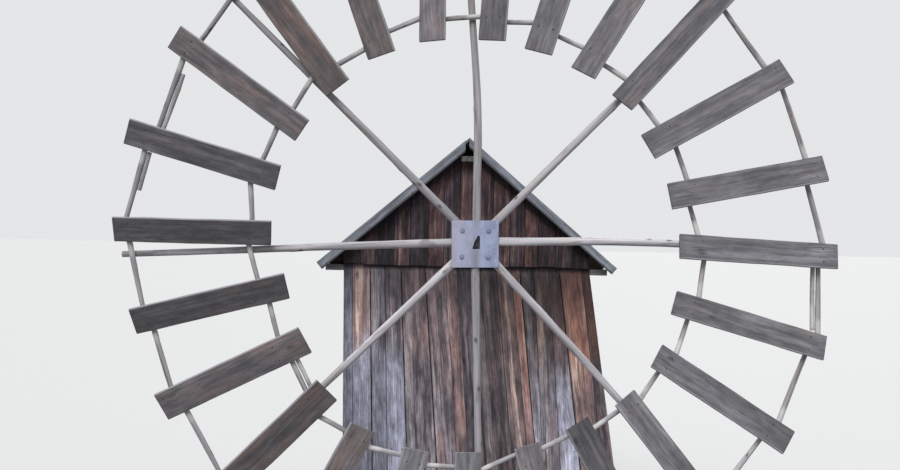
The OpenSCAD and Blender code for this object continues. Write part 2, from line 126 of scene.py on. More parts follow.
# Collects the surfaces of one piece, with the attributes that its material reads
class Surface:
    def __init__(self):
        self.verts, self.faces, self.count = [], [], 0
        self.values = {"grain": [], "place": [], "tone": []}

    # Skin over closed sections that follow one another along a board or pole
    def skin(self, points, grain, place, tone):
        rings, n = points.shape[:2]
        index = self.count + np.arange(rings * n).reshape(rings, n)
        nxt = np.roll(index, -1, axis=1)
        quads = np.stack([index[:-1], index[1:], nxt[1:], nxt[:-1]], -1)
        self.faces += quads.reshape(-1, 4).tolist()
        self.faces += [index[0].tolist(), index[-1][::-1].tolist()]
        self.verts.append(points.reshape(-1, 3))
        for key, value in (("grain", grain), ("place", place), ("tone", tone)):
            self.values[key].append(np.broadcast_to(value, points.shape).reshape(-1, 3))
        self.count += rings * n

    def finish(self, name, body, material, node=None, slot=None, smooth=True):
        mesh = bpy.data.meshes.new(name)
        mesh.from_pydata(np.concatenate(self.verts).tolist(), [], self.faces)
        work = bmesh.new()
        work.from_mesh(mesh)
        bmesh.ops.recalc_face_normals(work, faces=work.faces)
        work.to_mesh(mesh)
        work.free()
        for key, values in self.values.items():
            write_attribute(mesh, key, np.concatenate(values))
        if smooth:
            mesh.shade_smooth()
            mesh.set_sharp_from_angle(angle=SHARP)
        obj = placed(name, mesh)
        mesh.materials.append(material)
        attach(obj, body)
        if node:
            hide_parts(node)
        return obj


FACE_STEPS = np.linspace(-1, 1, 5)
FACE_RELIEF = 0.0008
FACE_DIP = 0.0012
END_STEP = 0.004
KNOT_LENGTH = 0.035
KNOT_TURN = 0.5


# Grain and place of each point of a skin: along it, and across its section
def mapped(along, section, across, rng):
    at = np.broadcast_to(along[:, None], section.shape[:2])
    grain = np.stack([
        at + rng.uniform(0, 40), section[..., 0] + rng.uniform(0, 20),
        section[..., 1] + rng.uniform(0, 20)
    ], -1)
    return grain, np.stack([at - along[0], along[-1] - at, across], -1)


# Worn board: rounded edges, waney sides and a face with slight relief
def board(surf, middle, across, out, half_w, half_t, along, seed, tone, wear=0.004, bow=0.003,
          lift=None, edge=0.003):
    rings = len(along)
    half_w = np.broadcast_to(half_w, (rings,))
    left = half_w - edge * (0.6 + 0.4 * waves(along, seed + 1, 0.9))
    right = half_w - edge * (0.6 + 0.4 * waves(along, seed + 2, 1.1))
    c = wear * (1 + 0.4 * waves(along, seed + 3, 0.5))
    front = half_t - FACE_RELIEF * (1 + waves(along, seed + 4, 0.7))
    inset = np.zeros(rings)
    inset[[0, -1]] = wear
    # Points 0 to 4 cross the face, 7 to 11 come back across the rear, and the rest are edges
    prof = np.zeros((rings, 14, 2))
    for i, f in enumerate(FACE_STEPS):
        x = f * ((left if f < 0 else right) - c)
        dip = FACE_DIP * (1 - abs(f)) * waves(along, seed + 5 + i, 0.45)
        prof[:, i, 0] = x
        prof[:, i, 1] = front - np.abs(dip) - inset
        prof[:, 11 - i, 0] = x
        prof[:, 11 - i, 1] = -half_t + inset
    for i, x in ((5, right - inset), (12, inset - left)):
        prof[:, i:i + 2, 0] = x[:, None]
    for i, y in ((5, front - c), (6, c - half_t), (12, c - half_t), (13, front - c)):
        prof[:, i, 1] = y
    shift = -bow * (0.5 + 0.5 * waves(along, seed + 11, along[-1] - along[0] + 0.3))
    points = (
        middle[:, None]
        + prof[..., :1] * across
        + (prof[..., 1:] + shift[:, None, None]) * out
    )
    if lift is not None:
        points = points + lift(prof)
    grain, place = mapped(along, prof, prof[..., 0] / half_w[:, None], np.random.RandomState(seed))
    surf.skin(points, grain, place, np.atleast_2d(tone)[:, None])


# Places along a board, with a close pair at each end for its rounded ends
def stations(start, end, step, close=END_STEP):
    n = max(2, round((end - start) / step))
    inner = np.linspace(start + close, end - close, n)
    return np.concatenate([[start], inner, [end]])


# Peeled pole with knots, from its middle line and radii
def pole(surf, middle, radius, along, seed, sides, knots, knot_h, rough, tone):
    rng = np.random.RandomState(seed)
    rings = len(along)
    d = unit(np.gradient(middle, along, axis=0))
    side = unit(np.cross(d, AXIS_Y))
    up = np.cross(side, d)
    a = np.linspace(0, 2 * math.pi, sides, endpoint=False)
    length = along[-1] - along[0]
    r = radius[:, None] * (
        1
        + rough * 0.6 * waves(along, seed, 0.6)[:, None]
        + rough * np.cos(2 * a[None] + 3 * waves(along, seed + 1, 1.7)[:, None])
        + rough * 0.5 * np.cos(3 * a[None] + 2 * waves(along, seed + 2, 0.9)[:, None])
    )
    mark = np.zeros((rings, sides))
    for _ in range(knots):
        at = along[0] + rng.uniform(0.05, 0.95) * length
        turn = rng.uniform(0, 2 * math.pi)
        round_it = np.angle(np.exp(1j * (a - turn))) / KNOT_TURN
        near = np.exp(-((along[:, None] - at) / KNOT_LENGTH) ** 2 - round_it ** 2)
        r = r + knot_h * near
        mark = np.maximum(mark, near)
    r[0] *= 0.93
    r[-1] *= 0.9
    local = np.stack([r * np.cos(a), r * np.sin(a)], -1)
    points = middle[:, None] + local[..., :1] * side[:, None] + local[..., 1:] * up[:, None]
    grain, place = mapped(along, local, mark, rng)
    surf.skin(points, grain, place, tone)


# Low domed head of a nail, or a washer or bolt head when it has few sides and flat steps
def stud(surf, at, out, profile, sides=8, turn=0.0):
    out = Vector(out).normalized()
    u = out.orthogonal().normalized()
    v = out.cross(u)
    a = np.linspace(0, 2 * math.pi, sides, endpoint=False) + turn
    ring = np.cos(a)[:, None] * np.array(u) + np.sin(a)[:, None] * np.array(v)
    points = np.stack([np.array(at) + ring * r + np.array(out) * h for r, h in profile])
    surf.skin(points, points, 0.0, 1.0)


# Radius and height of each step of a nail's head
NAIL = [(0.0055, -0.002), (0.0055, 0.0008), (0.0042, 0.002), (0.0015, 0.0026)]
BIG_NAIL = [(1.5 * r, 1.5 * h) for r, h in NAIL]
NAIL_SINK = 0.001
DEEP_SINK = 0.002
BIG_SINK = 0.004


# Two nails, one to each side of the middle of a board
def nail_pair(surf, middle, across, out, profile=NAIL):
    for side in (-1, 1):
        stud(surf, np.array(middle) + side * np.array(across), out, profile)


# Nodes of a material or of the sky
class Nodes:
    def __init__(self, tree):
        self.tree = tree

    def node(self, kind, inputs=(), **props):
        made = self.tree.nodes.new(kind)
        for key, value in props.items():
            setattr(made, key, value)
        for key, value in dict(inputs).items():
            self.put(value, made.inputs[key])
        return made

    def put(self, value, socket):
        if isinstance(value, bpy.types.NodeSocket):
            self.tree.links.new(value, socket)
        else:
            socket.default_value = value

    def split(self, vector):
        return self.node("ShaderNodeSeparateXYZ", {0: vector}).outputs

    def vector_math(self, kind, a, b):
        return self.node("ShaderNodeVectorMath", {0: a, 1: b}, operation=kind).outputs[0]

    def math(self, kind, a, b=0.0):
        return self.node("ShaderNodeMath", {0: a, 1: b}, operation=kind).outputs[0]

    # One value times a factor, plus another
    def mad(self, value, factor, plus):
        inputs = {0: value, 1: factor, 2: plus}
        return self.node("ShaderNodeMath", inputs, operation="MULTIPLY_ADD").outputs[0]

    # Distance between two values
    def apart(self, a, b):
        return self.math("ABSOLUTE", self.math("SUBTRACT", a, b))

    def between(self, value, low, high, out_low=0.0, out_high=1.0, kind="SMOOTHSTEP"):
        inputs = {0: value, 1: low, 2: high, 3: out_low, 4: out_high}
        return self.node("ShaderNodeMapRange", inputs, interpolation_type=kind).outputs[0]

    # 1 below the low value and 0 above the high one
    def fades(self, value, low, high):
        return self.between(value, low, high, 1.0, 0.0)

    def mix(self, factor, a, b, blend="MIX"):
        inputs = {0: factor, 6: a, 7: b}
        return self.node("ShaderNodeMix", inputs, data_type="RGBA", blend_type=blend).outputs[2]

    # 1 for rays from the camera and from reflections, which see the background
    def shown(self):
        rays = self.node("ShaderNodeLightPath").outputs
        return self.math("MAXIMUM", rays["Is Camera Ray"], rays["Is Glossy Ray"])


# Material with one shader, whose colour is changed step by step
class Shader(Nodes):
    def __init__(self, name, colour):
        self.colour = colour
        self.material = bpy.data.materials.new(name)
        self.material.use_nodes = True
        super().__init__(self.material.node_tree)
        self.bsdf = self.tree.nodes["Principled BSDF"]

    def attribute(self, name):
        return self.node("ShaderNodeAttribute", attribute_name=name).outputs["Vector"]

    # Noise with a number of changes to the metre along each axis
    def noise(self, place, scale, detail=3.0, rough=0.55):
        scaled = self.vector_math("MULTIPLY", place, scale)
        inputs = {"Vector": scaled, "Scale": 1.0, "Detail": detail, "Roughness": rough}
        return self.node("ShaderNodeTexNoise", inputs).outputs["Fac"]

    # The same with one number along the grain and another across it
    def grained(self, place, along, across, detail=3.0, rough=0.55):
        return self.noise(place, (along, across, across), detail, rough)

    # Makes the colour darker or lighter by a share
    def shade(self, share):
        level = self.node("ShaderNodeCombineXYZ", {0: share, 1: share, 2: share}).outputs[0]
        self.colour = self.mix(1.0, self.colour, level, "MULTIPLY")

    # Turns the colour to another one where a mask is 1
    def lay(self, mask, other):
        self.colour = self.mix(mask, self.colour, other)

    # The same by at most a share
    def tint(self, mask, share, other):
        self.lay(self.math("MULTIPLY", mask, share), other)

    # Ends a material with its relief and its constants
    def finish(self, rough, height, strength, depth, constants):
        self.put(self.colour, self.bsdf.inputs["Base Color"])
        self.put(rough, self.bsdf.inputs["Roughness"])
        for key, value in constants.items():
            self.bsdf.inputs[key].default_value = value
        inputs = {"Height": height, "Strength": strength, "Distance": depth}
        self.put(self.node("ShaderNodeBump", inputs).outputs[0], self.bsdf.inputs["Normal"])
        return self.material


# Colour as it looks on a screen, 0 to 255, as the linear colour that a material takes
def rgb(r, g, b):
    def line(v):
        v /= 255
        return v / 12.92 if v <= 0.04045 else ((v + 0.055) / 1.055) ** 2.4
    return (line(r), line(g), line(b), 1.0)


CRACK = rgb(32, 27, 28)
KNOT = rgb(44, 34, 33)
DAMP_WOOD = rgb(62, 59, 57)
# Colours of painted shade and painted shadow: at the heads of wall boards, under the gable, along
# the barges' lower edges and under the verges
PAINTED_HEAD_SHADE = rgb(34, 31, 36)
GABLE_EDGE_SHADOW = rgb(20, 18, 20)
BARGE_LOW_EDGE_SHADE = rgb(44, 44, 50)
UNDER_VERGE = rgb(17, 16, 19)
NAIL_STAIN = rgb(42, 36, 36)


# Weathered wood. Tone holds brightness, share of warm wood and share of grey for each board.
# Contrast is how strongly the grain shows. Damp is the height of the dark foot, head_shade the
# depth of the painted shade at the head, which also brings a thin painted shadow line under the
# gable, and verge_shade the depth of a narrow band of painted shade under the verge. Stains run
# down from the nails in stain_rows. Near_edge is the colour of a pale band along one long edge,
# and low_edge the share of the width that is darkened with painted shade along the other one.
def wood(name, dark, middle, light, red, tan, grey, contrast=1.0, rust=None, damp=0.0,
         head_shade=0.0, stain_rows=(), near_edge=None, low_edge=0.0, verge_shade=0.0):
    s = Shader(name, dark)
    grain = s.attribute("grain")
    brightness, warmth, greyness = s.split(s.attribute("tone"))
    from_start, from_end, across = s.split(s.attribute("place"))
    bend = s.math("MULTIPLY", s.grained(grain, 1.6, 6.0, 2.0), 0.05)
    wavy = s.vector_math("ADD", grain, s.node("ShaderNodeCombineXYZ", {1: bend}).outputs[0])
    fibre = s.grained(wavy, 5.0, 230.0, 4.0, 0.6)
    hair = s.grained(wavy, 3.0, 80.0, 2.0)
    streak = s.grained(wavy, 1.7, 26.0)
    broad = s.grained(grain, 1.2, 9.0)
    vein = s.grained(wavy, 0.5, 15.0, 2.0)
    patch = s.grained(grain, 2.6, 6.0, 4.0, 0.6)
    blot = s.grained(grain, 7.0, 22.0, 4.0, 0.65)
    rings = s.node(
        "ShaderNodeTexWave",
        {"Vector": s.vector_math("MULTIPLY", wavy, (0.22, 1.0, 1.0)), "Scale": 16.0,
         "Distortion": 5.0, "Detail": 2.0, "Detail Scale": 0.6},
        wave_type="BANDS", bands_direction="Y")
    late = s.between(rings.outputs["Fac"], 0.62, 0.95)

    # Where a share of warm or grey wood shows: in the streaks, and in another noise
    def shows(share, less, by_streak, noise, by_noise):
        return s.mad(noise, by_noise, s.mad(streak, by_streak, s.math("SUBTRACT", share, less)))

    soft = 0.16 / contrast
    s.lay(s.between(streak, 0.5 - soft, 0.5 + soft), middle)
    s.lay(s.between(vein, 0.5, 0.5 + soft, 0.0, 0.85), light)
    s.lay(s.between(shows(warmth, 0.7, 0.8, patch, 0.6), 0.1, 0.5), red)
    s.lay(s.between(shows(warmth, 1.3, 0.8, vein, 1.8), 0.35, 0.75), tan)
    if rust:
        s.lay(s.between(shows(warmth, 0.85, 0.5, broad, 1.2), 0.45, 0.75, 0.0, 0.8), rust)
    s.lay(s.between(shows(greyness, 0.7, 0.6, broad, 0.8), 0.25, 0.85), grey)
    s.tint(late, 0.25 * contrast, dark)
    swing = 0.16 * contrast
    for noise, low, high, darker, lighter in (
        (patch, 0.34, 0.66, 1.6, 1.6), (blot, 0.3, 0.7, 2.0, 1.6),
        (hair, 0.28, 0.72, 1.0, 0.8), (fibre, 0.25, 0.75, 0.8, 0.8),
    ):
        s.shade(s.between(noise, low, high, 1 - darker * swing, 1 + lighter * swing))

    # Cracks follow the grain, and knots are dark with a soft rim
    crack = s.fades(s.apart(s.grained(wavy, 0.6, 40.0, 2.0), 0.5), 0.005, 0.02)
    crack = s.math("MULTIPLY", crack, s.between(patch, 0.45, 0.62))
    cell = s.node("ShaderNodeTexVoronoi", {
        "Vector": s.vector_math("MULTIPLY", grain, (2.6, 6.5, 0.0)), "Scale": 1.0}).outputs
    picked = s.between(s.split(cell["Color"])[0], 0.6, 0.64)
    knot = s.math("MULTIPLY", s.fades(cell["Distance"], 0.04, 0.16), picked)
    s.tint(knot, 0.6, KNOT)
    s.tint(crack, 0.5 * contrast, CRACK)

    # Edges, ends and stains
    # Both long edges of each board are darker
    dark_long_edges = s.between(s.math("ABSOLUTE", across), 0.9, 1.0)
    s.tint(dark_long_edges, 0.35 * contrast, dark)
    near_end = s.fades(s.math("MINIMUM", from_start, from_end), 0.0, 0.07)
    s.tint(near_end, 0.3, dark)
    if low_edge:
        # Painted shade: the low_edge share of the width along the lower long edge is darkened
        low_edge_shade_mask = s.fades(s.mad(streak, 0.15, across), low_edge - 1.05, low_edge - 0.8)
        s.tint(low_edge_shade_mask, 0.75, BARGE_LOW_EDGE_SHADE)
    if damp:
        wet = s.fades(s.mad(streak, -0.5, from_start), -0.1, damp)
        s.tint(wet, 0.6, DAMP_WOOD)
    if head_shade:
        # Painted shade: the heads of the boards are darkened over head_shade, under the gable and
        # roof
        head_shade_mask = s.fades(s.mad(streak, -0.3, from_end), head_shade - 0.45, head_shade)
        s.tint(head_shade_mask, 0.62, PAINTED_HEAD_SHADE)
        # Painted shadow: a thin dark line just under the lower edge of the gable boards
        s.tint(s.fades(s.mad(hair, -0.05, from_end), 0.13, 0.17), 0.8, GABLE_EDGE_SHADOW)
    if verge_shade:
        under = s.fades(s.mad(streak, -0.04, from_end), verge_shade - 0.03, verge_shade)
        s.tint(under, 0.7, UNDER_VERGE)
    for row in stain_rows:
        below = s.math("SUBTRACT", row, from_start)
        run = s.math("MULTIPLY", s.between(below, -0.004, 0.01), s.fades(below, 0.05, 0.22))
        beside = s.fades(s.apart(s.math("ABSOLUTE", across), NAIL_SIDE), 0.02, 0.09)
        s.tint(s.math("MULTIPLY", run, beside), 0.5, NAIL_STAIN)
    s.shade(brightness)
    if near_edge:
        # A pale band along one long edge, laid on after the brightness so that it doesn't darken
        # with it
        rim = s.fades(s.mad(streak, 0.1, across), -0.89, -0.82)
        s.tint(rim, 0.65, near_edge)
    height = s.mad(fibre, 0.25, s.mad(hair, 0.35, s.math("MULTIPLY", streak, 0.5)))
    height = s.mad(crack, -1.2, s.mad(late, 0.25, height))
    return s.finish(s.between(fibre, 0.3, 0.7, 0.78, 0.95), height, 0.6, 0.002,
                    {"Specular IOR Level": 0.25})


POLE_CHECK = rgb(62, 54, 50)
POLE_KNOT = rgb(66, 54, 46)
POLE_PALE_END = rgb(205, 203, 202)


# Peeled pole: pale dry wood with grey weathering, checks and dark knots. Tone holds brightness
# and how pale the thick end of a rim pole is, just past the board that covers it.
def peeled(name, pale, grey, tan, dark):
    s = Shader(name, grey)
    grain = s.attribute("grain")
    brightness, pale_end, _ = s.split(s.attribute("tone"))
    _, from_end, mark = s.split(s.attribute("place"))
    fibre = s.grained(grain, 3.0, 110.0, 3.0, 0.6)
    streak = s.grained(grain, 1.2, 30.0, 4.0, 0.6)
    patch = s.grained(grain, 2.2, 7.0)
    blotch = s.grained(grain, 5.0, 12.0)
    s.lay(s.between(streak, 0.32, 0.68), pale)
    s.lay(s.between(patch, 0.54, 0.72, 0.0, 0.7), tan)
    s.lay(s.between(blotch, 0.58, 0.72, 0.0, 0.5), dark)
    check = s.fades(s.apart(s.grained(grain, 0.8, 24.0, 1.0), 0.5), 0.006, 0.03)
    check = s.math("MULTIPLY", check, s.between(patch, 0.42, 0.58))
    s.tint(check, 0.55, POLE_CHECK)
    s.lay(s.between(mark, 0.25, 0.85, 0.0, 0.8), POLE_KNOT)
    s.tint(s.fades(from_end, 0.2, 0.27), pale_end, POLE_PALE_END)
    s.shade(s.math("MULTIPLY", s.between(fibre, 0.25, 0.75, 0.9, 1.08), brightness))
    height = s.mad(check, -1.0, s.mad(fibre, 0.25, s.math("MULTIPLY", streak, 0.5)))
    return s.finish(s.between(fibre, 0.3, 0.7, 0.62, 0.85), height, 0.45, 0.0018,
                    {"Specular IOR Level": 0.3})


TIMBER_CHECK = rgb(28, 24, 22)


# Timber of the frame, with its grain along one axis of the solids
def timber(name, long_axis, dark, middle, light):
    s = Shader(name, dark)
    place = s.node("ShaderNodeTexCoord").outputs["Object"]
    fine_scale, wide_scale = [198.0] * 3, [27.0] * 3
    fine_scale[long_axis] = 3.2
    wide_scale[long_axis] = 0.96
    fibre = s.noise(place, fine_scale, 4.0, 0.62)
    streak = s.noise(place, wide_scale, 4.0, 0.6)
    patch = s.noise(place, (2.3, 2.3, 2.3))
    s.lay(s.between(streak, 0.32, 0.68), middle)
    s.lay(s.between(patch, 0.5, 0.7, 0.0, 0.8), light)
    s.tint(s.fades(s.apart(streak, 0.5), 0.004, 0.016), 0.6, TIMBER_CHECK)
    s.shade(s.between(fibre, 0.25, 0.75, 0.78, 1.18))
    return s.finish(s.between(fibre, 0.3, 0.7, 0.8, 0.95), s.mad(fibre, 0.4, streak), 0.6,
                    0.0025, {"Specular IOR Level": 0.25})


HUB_LEFT_TINT = rgb(158, 152, 166)


# Old metal with mottling and rust. Band is a dark run across the hub plate: its x, half width,
# the height below which it is darker, and its colour.
def metal(name, base, shade, rust, rust_share, metallic, rough, band=None):
    s = Shader(name, shade)
    place = s.node("ShaderNodeTexCoord").outputs["Object"]
    fine = s.noise(place, (160.0, 160.0, 160.0), 4.0, 0.6)
    cloud = s.noise(place, (14.0, 14.0, 9.0), 4.0, 0.6)
    speck = s.noise(place, (46.0, 46.0, 46.0), 5.0, 0.7)
    s.lay(s.between(cloud, 0.36, 0.64), base)
    eaten = s.between(s.mad(speck, 0.6, s.math("MULTIPLY", cloud, 0.4)),
                      0.62 - rust_share, 0.72 - rust_share)
    s.tint(eaten, 0.85, rust)
    if band:
        band_x, half_w, dark_below, band_colour = band
        x, _, z = s.split(place)
        # A lighter, warmer colour over the left part of the plate
        s.lay(s.between(s.mad(cloud, 0.3, x), -0.1, 0.3, 0.55, 0.0), HUB_LEFT_TINT)
        beside = s.mad(speck, 0.07, s.math("SUBTRACT", s.apart(x, band_x), 0.035))
        depth = s.between(z, dark_below - 0.06, dark_below + 0.05, 0.8, 0.25)
        s.tint(s.fades(beside, 0.0, half_w), depth, band_colour)
    s.shade(s.between(fine, 0.2, 0.8, 0.92, 1.06))
    height = s.mad(eaten, -0.5, s.math("MULTIPLY", fine, 0.4))
    return s.finish(s.between(cloud, 0.3, 0.7, rough - 0.08, rough + 0.1), height, 0.35,
                    0.0012, {"Metallic": metallic})


# Heights of the nails over a board's foot, and their place as a share of its half width
NAIL_ROWS = (0.10, 1.83, 3.60)
NAIL_SIDE = 0.55
wall_wood = wood(
    "weathered_wall_boards",
    dark=rgb(71, 65, 70), middle=rgb(117, 108, 113), light=rgb(153, 145, 149),
    red=rgb(122, 98, 96), tan=rgb(184, 159, 147), grey=rgb(137, 139, 155),
    rust=rgb(140, 93, 81), contrast=1.1, damp=0.35, head_shade=0.6, stain_rows=NAIL_ROWS)
gable_wood = wood(
    "dark_gable_boards",
    dark=rgb(36, 32, 38), middle=rgb(58, 50, 56), light=rgb(78, 70, 76),
    red=rgb(80, 60, 62), tan=rgb(112, 93, 87), grey=rgb(84, 82, 92),
    rust=rgb(98, 64, 57), contrast=1.4, verge_shade=0.13)
roof_wood = wood(
    "grey_roof_boards",
    dark=rgb(74, 73, 76), middle=rgb(106, 107, 111), light=rgb(132, 133, 138),
    red=rgb(102, 92, 88), tan=rgb(116, 104, 95), grey=rgb(144, 147, 152), contrast=0.8)
barge_wood = wood(
    "grey_barge_boards",
    dark=rgb(84, 87, 94), middle=rgb(118, 122, 131), light=rgb(142, 147, 156),
    red=rgb(114, 113, 116), tan=rgb(124, 119, 118), grey=rgb(148, 153, 163),
    contrast=0.6, low_edge=0.45)
vane_wood = wood(
    "weathered_vane_boards",
    dark=rgb(93, 91, 95), middle=rgb(117, 115, 120), light=rgb(137, 136, 142),
    red=rgb(117, 102, 100), tan=rgb(135, 118, 111), grey=rgb(132, 132, 140),
    contrast=0.65, near_edge=rgb(144, 142, 148))
pole_wood = peeled(
    "peeled_poles", pale=rgb(177, 174, 178), grey=rgb(140, 138, 143), tan=rgb(158, 148, 140),
    dark=rgb(106, 99, 97))
BROWN_TIMBER = (rgb(66, 58, 52), rgb(104, 94, 86), rgb(132, 122, 114))
beam_x, beam_y, beam_z = (
    timber("timber_along_" + "xyz"[axis], axis, *BROWN_TIMBER) for axis in range(3))
tie_wood = timber("grey_tie_beams", 0, rgb(98, 96, 97), rgb(134, 131, 132), rgb(160, 157, 158))
ridge_wood = timber("grey_ridge_plank", 1, rgb(66, 66, 67), rgb(98, 98, 98), rgb(118, 118, 116))
wedge_wood = timber("wedge_wood", 1, rgb(88, 80, 74), rgb(130, 120, 112), rgb(156, 146, 138))
hub_metal = metal(
    "dull_grey_plate", rgb(138, 148, 175), rgb(118, 125, 149), rgb(102, 94, 98),
    rust_share=-0.04, metallic=0.2, rough=0.55, band=(0.01, 0.06, 3.905, rgb(112, 107, 118)))
shaft_metal = metal(
    "dark_shaft_steel", rgb(84, 82, 85), rgb(54, 52, 56), rgb(92, 62, 46),
    rust_share=0.05, metallic=0.7, rough=0.5)
iron = metal(
    "cast_iron", rgb(66, 65, 67), rgb(46, 45, 47), rgb(88, 58, 42),
    rust_share=0.06, metallic=0.6, rough=0.6)
nail_metal = metal(
    "rusty_nails", rgb(70, 62, 60), rgb(50, 44, 43), rgb(84, 54, 40),
    rust_share=0.1, metallic=0.5, rough=0.7)
bolt_metal = metal(
    "bolt_steel", rgb(126, 133, 158), rgb(104, 110, 136), rgb(104, 86, 78),
    rust_share=0.0, metallic=0.4, rough=0.5)

nails = Surface()

# Thinnest and thickest board, and the depth of the slab that the boards stand for
WALL_BOARD = (0.0205, 0.0235, BOARD_T)
ROOF_BOARD = (0.022, 0.0265, ROOF_T)
SLAB_MARGIN = 0.001
FLAT = {"bow": 0.001, "wear": 0.003}
FOOT_SPREAD = 0.03
OPEN_SEAM = 0.0035
TIGHT_SEAM = 0.0004
LOOSE_SEAM = 0.0009
# A wall board's tone turns from that of its foot to that of its head over this height
TONE_TURN = (2.4, 3.2)


# Thickness of a board, and the gap behind it to the back of its slab
def in_slab(rng, thinnest, thickest, slab):
    thick = rng.uniform(thinnest, thickest)
    return thick, rng.uniform(0.0, slab - thick - SLAB_MARGIN)


# Edges of boards of uneven width, as shares of the width of them all
def uneven(rng, count, spread):
    w = rng.uniform(1 - spread, 1 + spread, count)
    return np.concatenate([[0], np.cumsum(w) / w.sum()])


# Middle and half of the width between two edges
def mid_half(low, high):
    return (low + high) / 2, (high - low) / 2


# Middle line of an upright board
def upright(x, y, h):
    return np.stack(np.broadcast_arrays(x, y, h), -1)


# Straight wall of boards between two corners. Seams are shares of the width, at eaves and foot.
# Each board's tone is given near its head and near its foot.
def end_wall(name, node, y_face, facing, seams, tones, seed, open_seams=(), tight=TIGHT_SEAM):
    surf = Surface()
    out = facing * AXIS_Y
    rise = stations(0.0, 1.0, 0.04)
    for i in range(len(seams) - 1):
        rng = np.random.RandomState(seed + i)
        foot = BOARD_FOOT + rng.uniform(0.0, FOOT_SPREAD)
        h = foot + rise * (WALL_HEAD - foot)
        h[1] = foot + END_STEP
        h[-2] = h[-1] - END_STEP
        share = np.clip(h / EAVES, 0, 1)
        sides = []
        for seam, inward in ((i, 1), (i + 1, -1)):
            at_eaves, at_foot = seams[seam]
            gap = OPEN_SEAM if seam in open_seams else tight
            place = at_foot + (at_eaves - at_foot) * share
            sides.append(side_x(LEFT, h) + place * 2 * hut_half(h) + inward * gap)
        mid, half = mid_half(*sides)
        thick, back = in_slab(rng, *WALL_BOARD)
        y = y_face - facing * (back + thick / 2)
        head_tone, foot_tone = np.array(tones[i % len(tones)])
        turn = np.interp(h, TONE_TURN, (0, 1))
        turn = (turn * turn * (3 - 2 * turn))[:, None]
        board(surf, upright(mid, y, h), AXIS_X, out, half, thick / 2, h, seed * 7 + i * 31,
              foot_tone + (head_tone - foot_tone) * turn, edge=rng.uniform(0.0008, 0.002), **FLAT)
        for row in NAIL_ROWS:
            at = (np.interp(row + foot, h, mid), y + facing * (thick / 2 - NAIL_SINK), row + foot)
            nail_pair(nails, at, NAIL_SIDE * np.interp(row + foot, h, half) * AXIS_X, out)
    surf.finish(name, "mill_house", wall_wood, node, "wall_boards")


FRONT_SEAMS = [
    (0.0, 0.0), (0.036, 0.042), (0.108, 0.111), (0.167, 0.165), (0.234, 0.241), (0.331, 0.362),
    (0.416, 0.429), (0.460, 0.470), (0.520, 0.528), (0.620, 0.633), (0.682, 0.690),
    (0.715, 0.715), (0.774, 0.705), (0.834, 0.775), (0.877, 0.872), (0.966, 0.946), (1.0, 1.0)
]
FRONT_OPEN_SEAMS = (2, 4, 5, 11, 14)
# Brightness, warm share and grey share of each board of the front wall, head and foot. The
# brightness is partly the boards' own tone and partly painted shade, darkest at the heads right of
# the hub.
FRONT_TONES_AND_SHADE = [
    ((0.7, 0.0, 0.8), (0.85, 0.0, 0.85)), ((1.75, 0.42, 0.3), (0.95, 0.0, 0.75)),
    ((1.1, 0.1, 0.4), (0.74, 0.0, 0.8)), ((1.0, 0.2, 0.3), (1.08, 0.0, 0.9)),
    ((1.05, 0.25, 0.1), (1.08, 0.1, 0.35)), ((1.55, 0.25, 0.25), (1.35, 0.2, 0.3)),
    ((1.25, 0.35, 0.1), (1.36, 0.35, 0.15)), ((0.85, 0.1, 0.25), (0.68, 0.05, 0.3)),
    ((0.66, 0.2, 0.0), (0.62, 0.15, 0.1)), ((0.95, 0.35, 0.0), (1.0, 0.3, 0.15)),
    ((1.25, 0.5, 0.0), (1.6, 0.45, 0.2)), ((0.48, 0.1, 0.1), (1.9, 0.1, 0.5)),
    ((0.5, 0.3, 0.0), (1.15, 0.1, 0.4)), ((0.5, 0.35, 0.0), (1.75, 0.05, 0.6)),
    ((0.78, 0.75, 0.0), (1.25, 0.35, 0.2)), ((0.42, 0.6, 0.0), (0.66, 0.2, 0.1))
]
end_wall("front_wall_boards", "front_wall", FRAME_FRONT - BOARD_T, -1, FRONT_SEAMS, FRONT_TONES_AND_SHADE,
         11, FRONT_OPEN_SEAMS)

BOARD_W = 0.17
WALL_SPREAD = 0.25


def tones_for(n, seed, warm=0.3):
    rng = np.random.RandomState(seed)
    return [(rng.uniform(0.72, 1.3), rng.uniform(0.0, warm), rng.uniform(0.0, 0.75))
            for _ in range(n)]


# Upright seams of uneven boards for the back, which the photograph doesn't show
back_edges = uneven(np.random.RandomState(5), round(2 * TOP_HALF / BOARD_W), WALL_SPREAD)
back_seams = [(edge, edge) for edge in back_edges]
back_tones = list(zip(tones_for(len(back_seams), 6), tones_for(len(back_seams), 7, 0.15)))
end_wall("back_wall_boards", "back_wall", FRAME_BACK + BOARD_T, 1, back_seams, back_tones, 57,
         tight=LOOSE_SEAM)

SIDE_BOARDS = 13


